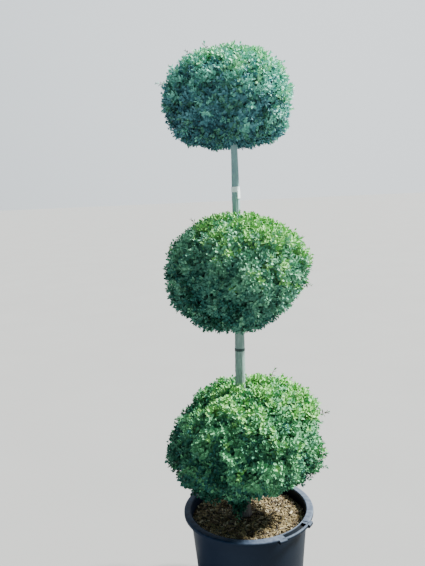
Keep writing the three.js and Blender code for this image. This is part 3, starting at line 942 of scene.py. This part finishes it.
def body_profile():
    """The pot's shell from the axis, out under the floor, up outside and down inside."""
    spread = wall_radius(POT_FOOT_RISE) - POT_FOOT_RADIUS
    foot = [
        (POT_FOOT_RADIUS + spread * math.sin(a), POT_FOOT_RISE * (1 - math.cos(a)))
        for a in np.linspace(0, math.pi / 2, FOOT_STEPS)
    ]
    top = POT_HEIGHT - LIP_EDGE / 2
    climb = np.linspace(POT_FOOT_RISE, POT_HEIGHT - LIP_DROP, WALL_STEPS)
    outer = [(wall_radius(z), z) for z in climb[1:]]
    inner = [(wall_radius(z) - POT_WALL, z) for z in np.linspace(top, POT_FOOT_RISE, WALL_STEPS)]
    crest = [(MOUTH_RADIUS + POT_WALL, top), (MOUTH_RADIUS + POT_WALL / 2, POT_HEIGHT)]
    floor = [(POT_FOOT_RADIUS, POT_FLOOR), (PINHOLE, POT_FLOOR)]
    return [(PINHOLE, 0.0)] + foot + outer + crest + inner + floor


def lip_profile():
    """The rolled lip, closed: over the top of the wall and down outside it, then back up inside."""
    low = POT_HEIGHT - LIP_DROP
    high = POT_HEIGHT - LIP_WALL
    hem_inside = RIM_RADIUS - LIP_WALL
    wall_outside = MOUTH_RADIUS + POT_WALL
    shoulder = (RIM_RADIUS - LIP_EDGE, POT_HEIGHT - LIP_EDGE)
    inner = (MOUTH_RADIUS + LIP_EDGE, POT_HEIGHT - LIP_EDGE)
    over = arc(inner, LIP_EDGE, 180, 90, LIP_INNER_STEPS)
    over += arc(shoulder, LIP_EDGE, 90, 0, LIP_OUTER_STEPS)
    hem = [(RIM_RADIUS, low), (hem_inside, low)]
    under = [(hem_inside, high - LIP_FILLET), (wall_outside, high), (wall_outside, low)]
    return [(MOUTH_RADIUS, low)] + over + hem + under + [(MOUTH_RADIUS, low)]


def ear(azimuth):
    """The bracket at one end of a handle, as a short stretch of a rounded bar with shut ends."""
    top = POT_HEIGHT - EAR_DROP
    low = (MOUTH_RADIUS + POT_WALL / 4, top - EAR_HEIGHT)
    half = math.degrees(EAR_WIDTH / 2 / RIM_RADIUS)
    profile = rounded_box(low, (EAR_RADIUS, top), HANDLE_ROUND)
    return capped(profile, azimuth - half, azimuth + half, EAR_SWEEP)


def sharpen(obj, angle):
    """Marks edges that bend by more than an angle as sharp, so smooth shading keeps them crisp."""
    bpy.context.view_layer.objects.active = obj
    obj.select_set(True)
    bpy.ops.object.shade_smooth_by_angle(angle=math.radians(angle))
    obj.select_set(False)


def make_pot(material):
    """The shell, the lip in two stretches between the handles, and the grips with their brackets."""
    first, second = HANDLE_AZIMUTHS
    gap = HANDLE_HALF_ANGLE
    parts = [swept(body_profile(), 0, 360, POT_SIDES, True)]
    for start, end in ((first + gap, second - gap), (second + gap, first + 360 - gap)):
        parts.append(capped(lip_profile(), start, end, LIP_SWEEP))
    grip_low, grip_high = zip(GRIP_RADII, GRIP_HEIGHTS)
    grip = rounded_box(grip_low, grip_high, HANDLE_ROUND)
    for azimuth in HANDLE_AZIMUTHS:
        parts.append(capped(grip, azimuth - gap, azimuth + gap, GRIP_SWEEP))
        parts.append(ear(azimuth - gap))
        parts.append(ear(azimuth + gap))
    points, faces = joined(parts)
    obj = mesh_object("pot_shell", points, faces, [material], smooth=True)
    sharpen(obj, SHARP_ANGLE)
    place_piece(obj, "pot")


# Soil and mulch


def soil_edge():
    return wall_radius(SOIL_LEVEL) - POT_WALL - SOIL_GAP


def soil_height(x, y):
    """Height of the soil over a place: a low crown, with lumps that fade out towards it and the wall."""
    radius = np.hypot(x, y)
    out = np.clip((radius - SOIL_PATCH) / (soil_edge() - SOIL_PATCH), 0, 1)
    wave = FULL_TURN / LUMP_SPACING
    lumps = np.sin(wave * x + 1) * np.cos(wave * y) + 0.5 * np.sin(2 * wave * (x + y))
    slope = mix(SOIL_CROWN, SOIL_LEVEL, np.sqrt(out))
    return np.where(radius <= SOIL_PATCH, SOIL_CROWN, slope + SOIL_ROUGHNESS * lumps * np.sin(math.pi * out))


def make_soil(material, chip_materials):
    """The soil from its crown down to the pot's floor, and the chips on it."""
    rng = np.random.default_rng(SOIL_SEED)
    radius = np.linspace(PINHOLE, soil_edge(), SOIL_RINGS)[:, None]
    turn = np.linspace(0, FULL_TURN, SOIL_SIDES, endpoint=False)[None, :]
    x, y = radius * np.cos(turn), radius * np.sin(turn)
    z = soil_height(x, y) + rng.normal(0, CRUMB_HEIGHT, x.shape)
    points = np.stack([x, y, z], axis=-1)
    skirt = points[-1].copy()
    skirt[:, 2] = POT_FLOOR + SOIL_FOOT_GAP
    skirt[:, :2] *= (POT_FOOT_RADIUS - POT_WALL) / soil_edge()
    points = np.concatenate([points.reshape(-1, 3), skirt])
    quads = tube_quads(SOIL_RINGS + 1, SOIL_SIDES)[:, (0, 3, 2, 1)]
    obj = mesh_object("soil_bed", points, quads, [material], smooth=True)
    place_piece(obj, "soil")
    make_chips(chip_materials, rng)


def make_chips(materials, rng):
    """Bark chips strewn over the soil: flat splinters of twelve triangles, joined into one piece."""
    radius = soil_edge() * np.sqrt(rng.uniform(*CHIP_REACH, CHIP_COUNT))
    turn = rng.uniform(0, FULL_TURN, CHIP_COUNT)
    x, y = radius * np.cos(turn), radius * np.sin(turn)
    length = rng.lognormal(math.log(CHIP_LENGTH), CHIP_LENGTH_SPREAD, CHIP_COUNT).clip(*CHIP_LENGTH_LIMITS)
    keep = (np.hypot(x - TRUNK[0, 0], y) > CHIP_CLEARING) & (radius + length / 2 < soil_edge())
    x, y, length = x[keep], y[keep], length[keep]
    count = len(x)
    z = soil_height(x, y) + rng.uniform(0.0, CHIP_LIFT, count)
    place = np.stack([x, y, z], axis=1)
    width = length * rng.uniform(*CHIP_WIDTHS, count)
    thickness = length * rng.uniform(*CHIP_THICKNESSES, count)
    heading = rng.uniform(0, FULL_TURN, count)
    tilt = rng.normal(0, CHIP_TILT, count)
    along = np.stack([np.cos(heading) * np.cos(tilt), np.sin(heading) * np.cos(tilt), np.sin(tilt)], 1)
    up = unit(np.array((0, 0, 1)) + rng.normal(0, CHIP_ROLL, (count, 3)))
    across = unit(np.cross(up, along))
    up = np.cross(along, across)
    corners = np.array([(a, b, c) for a in (-1, 1) for b in (-1, 1) for c in (-1, 1)]) / 2
    corners[:, 1] *= np.where(corners[:, 0] > 0, rng.uniform(*CHIP_TAPERS), 1.0)
    points = place[:, None, :] + corners[None, :, :1] * (length[:, None] * along)[:, None, :]
    points = points + corners[None, :, 1:2] * (width[:, None] * across)[:, None, :]
    points = points + corners[None, :, 2:] * (thickness[:, None] * up)[:, None, :]
    quads = np.array([(0, 1, 3, 2), (4, 6, 7, 5), (0, 4, 5, 1), (2, 3, 7, 6), (0, 2, 6, 4), (1, 5, 7, 3)])
    faces = quads[None] + (np.arange(count) * len(corners))[:, None, None]
    tints = np.repeat(rng.choice(len(materials), count, p=CHIP_SHARES), len(quads))
    obj = mesh_object("mulch_chips", points.reshape(-1, 3), faces.reshape(-1, 4), materials, tints)
    place_piece(obj, "soil")


# Ties


def finish_node(name, material):
    """Gives a carried-over solid its finished material."""
    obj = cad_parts[name]
    obj.data.materials.clear()
    obj.data.materials.append(material)


# Stage, light and camera


def make_floor(material):
    points = [(x * FLOOR_REACH, y * FLOOR_REACH, 0) for x, y in ((-1, -1), (1, -1), (1, 1), (-1, 1))]
    mesh_object("floor", points, [(0, 1, 2, 3)], [material])


def make_world():
    """A soft sky, bright and nearly white behind the plant, dim and slightly blue in front of it."""
    world = bpy.data.worlds.new("studio")
    world.use_nodes = True
    nodes, links = world.node_tree.nodes, world.node_tree.links
    toward = nodes.new("ShaderNodeVectorMath")
    toward.operation = "DOT_PRODUCT"
    toward.inputs[1].default_value = unit(np.array(BRIGHT_SKY))
    links.new(nodes.new("ShaderNodeTexCoord").outputs["Generated"], toward.inputs[0])
    sky = nodes.new("ShaderNodeMix")
    sky.data_type = "RGBA"
    sky.inputs[MIX_FIRST].default_value = (*SKY_DIM, 1)
    sky.inputs[MIX_SECOND].default_value = (*SKY_BRIGHT, 1)
    links.new(toward.outputs["Value"], sky.inputs[MIX_SHARE])
    links.new(sky.outputs[MIX_RESULT], nodes["Background"].inputs["Color"])
    bpy.context.scene.world = world


def make_key_light():
    """A soft sun high on the right, a little behind the plant."""
    data = bpy.data.lights.new("key", "SUN")
    data.angle = math.radians(KEY_SPREAD)
    data.energy = KEY_STRENGTH
    data.color = KEY_COLOUR
    light = add_to_scene("key", data)
    light.rotation_mode = "QUATERNION"
    light.rotation_quaternion = Vector(-towards(*KEY_FROM)).to_track_quat("-Z", "Y")


def make_camera():
    data = bpy.data.cameras.new("camera")
    data.sensor_width = SENSOR
    data.lens = CAMERA_FOCAL_PIXELS / IMAGE_HEIGHT * SENSOR
    camera = add_to_scene("camera", data)
    camera.location = CAMERA_PLACE
    camera.rotation_mode = "ZYX"
    camera.rotation_euler = (math.radians(90 - CAMERA_PITCH), 0, math.radians(-CAMERA_ROLL))
    bpy.context.scene.camera = camera


# The scene

make_camera()
make_world()
make_key_light()
make_floor(floor_material())
trunk_bark = bark_material()
twig_bark = plain_material("twig_bark", TWIG_COLOUR, TWIG_ROUGHNESS)
leaf_materials = {
    name: plain_material("leaf_" + name, colour, LEAF_ROUGHNESS, LEAF_GLOSS, LEAF_GLOSS_TINT)
    for name, colour in LEAF_COLOURS.items()
}
make_trunk(trunk_bark)
make_pot(plastic_material())
make_soil(soil_material(), [chip_material(name, *tones) for name, tones in CHIP_TONES.items()])
for tie_name, tie_look in TIES.items():
    finish_node(tie_name, tie_material(*tie_look))
for ball_name, ball_sizes in BALLS.items():
    make_ball(ball_name, ball_sizes, leaf_materials, twig_bark)
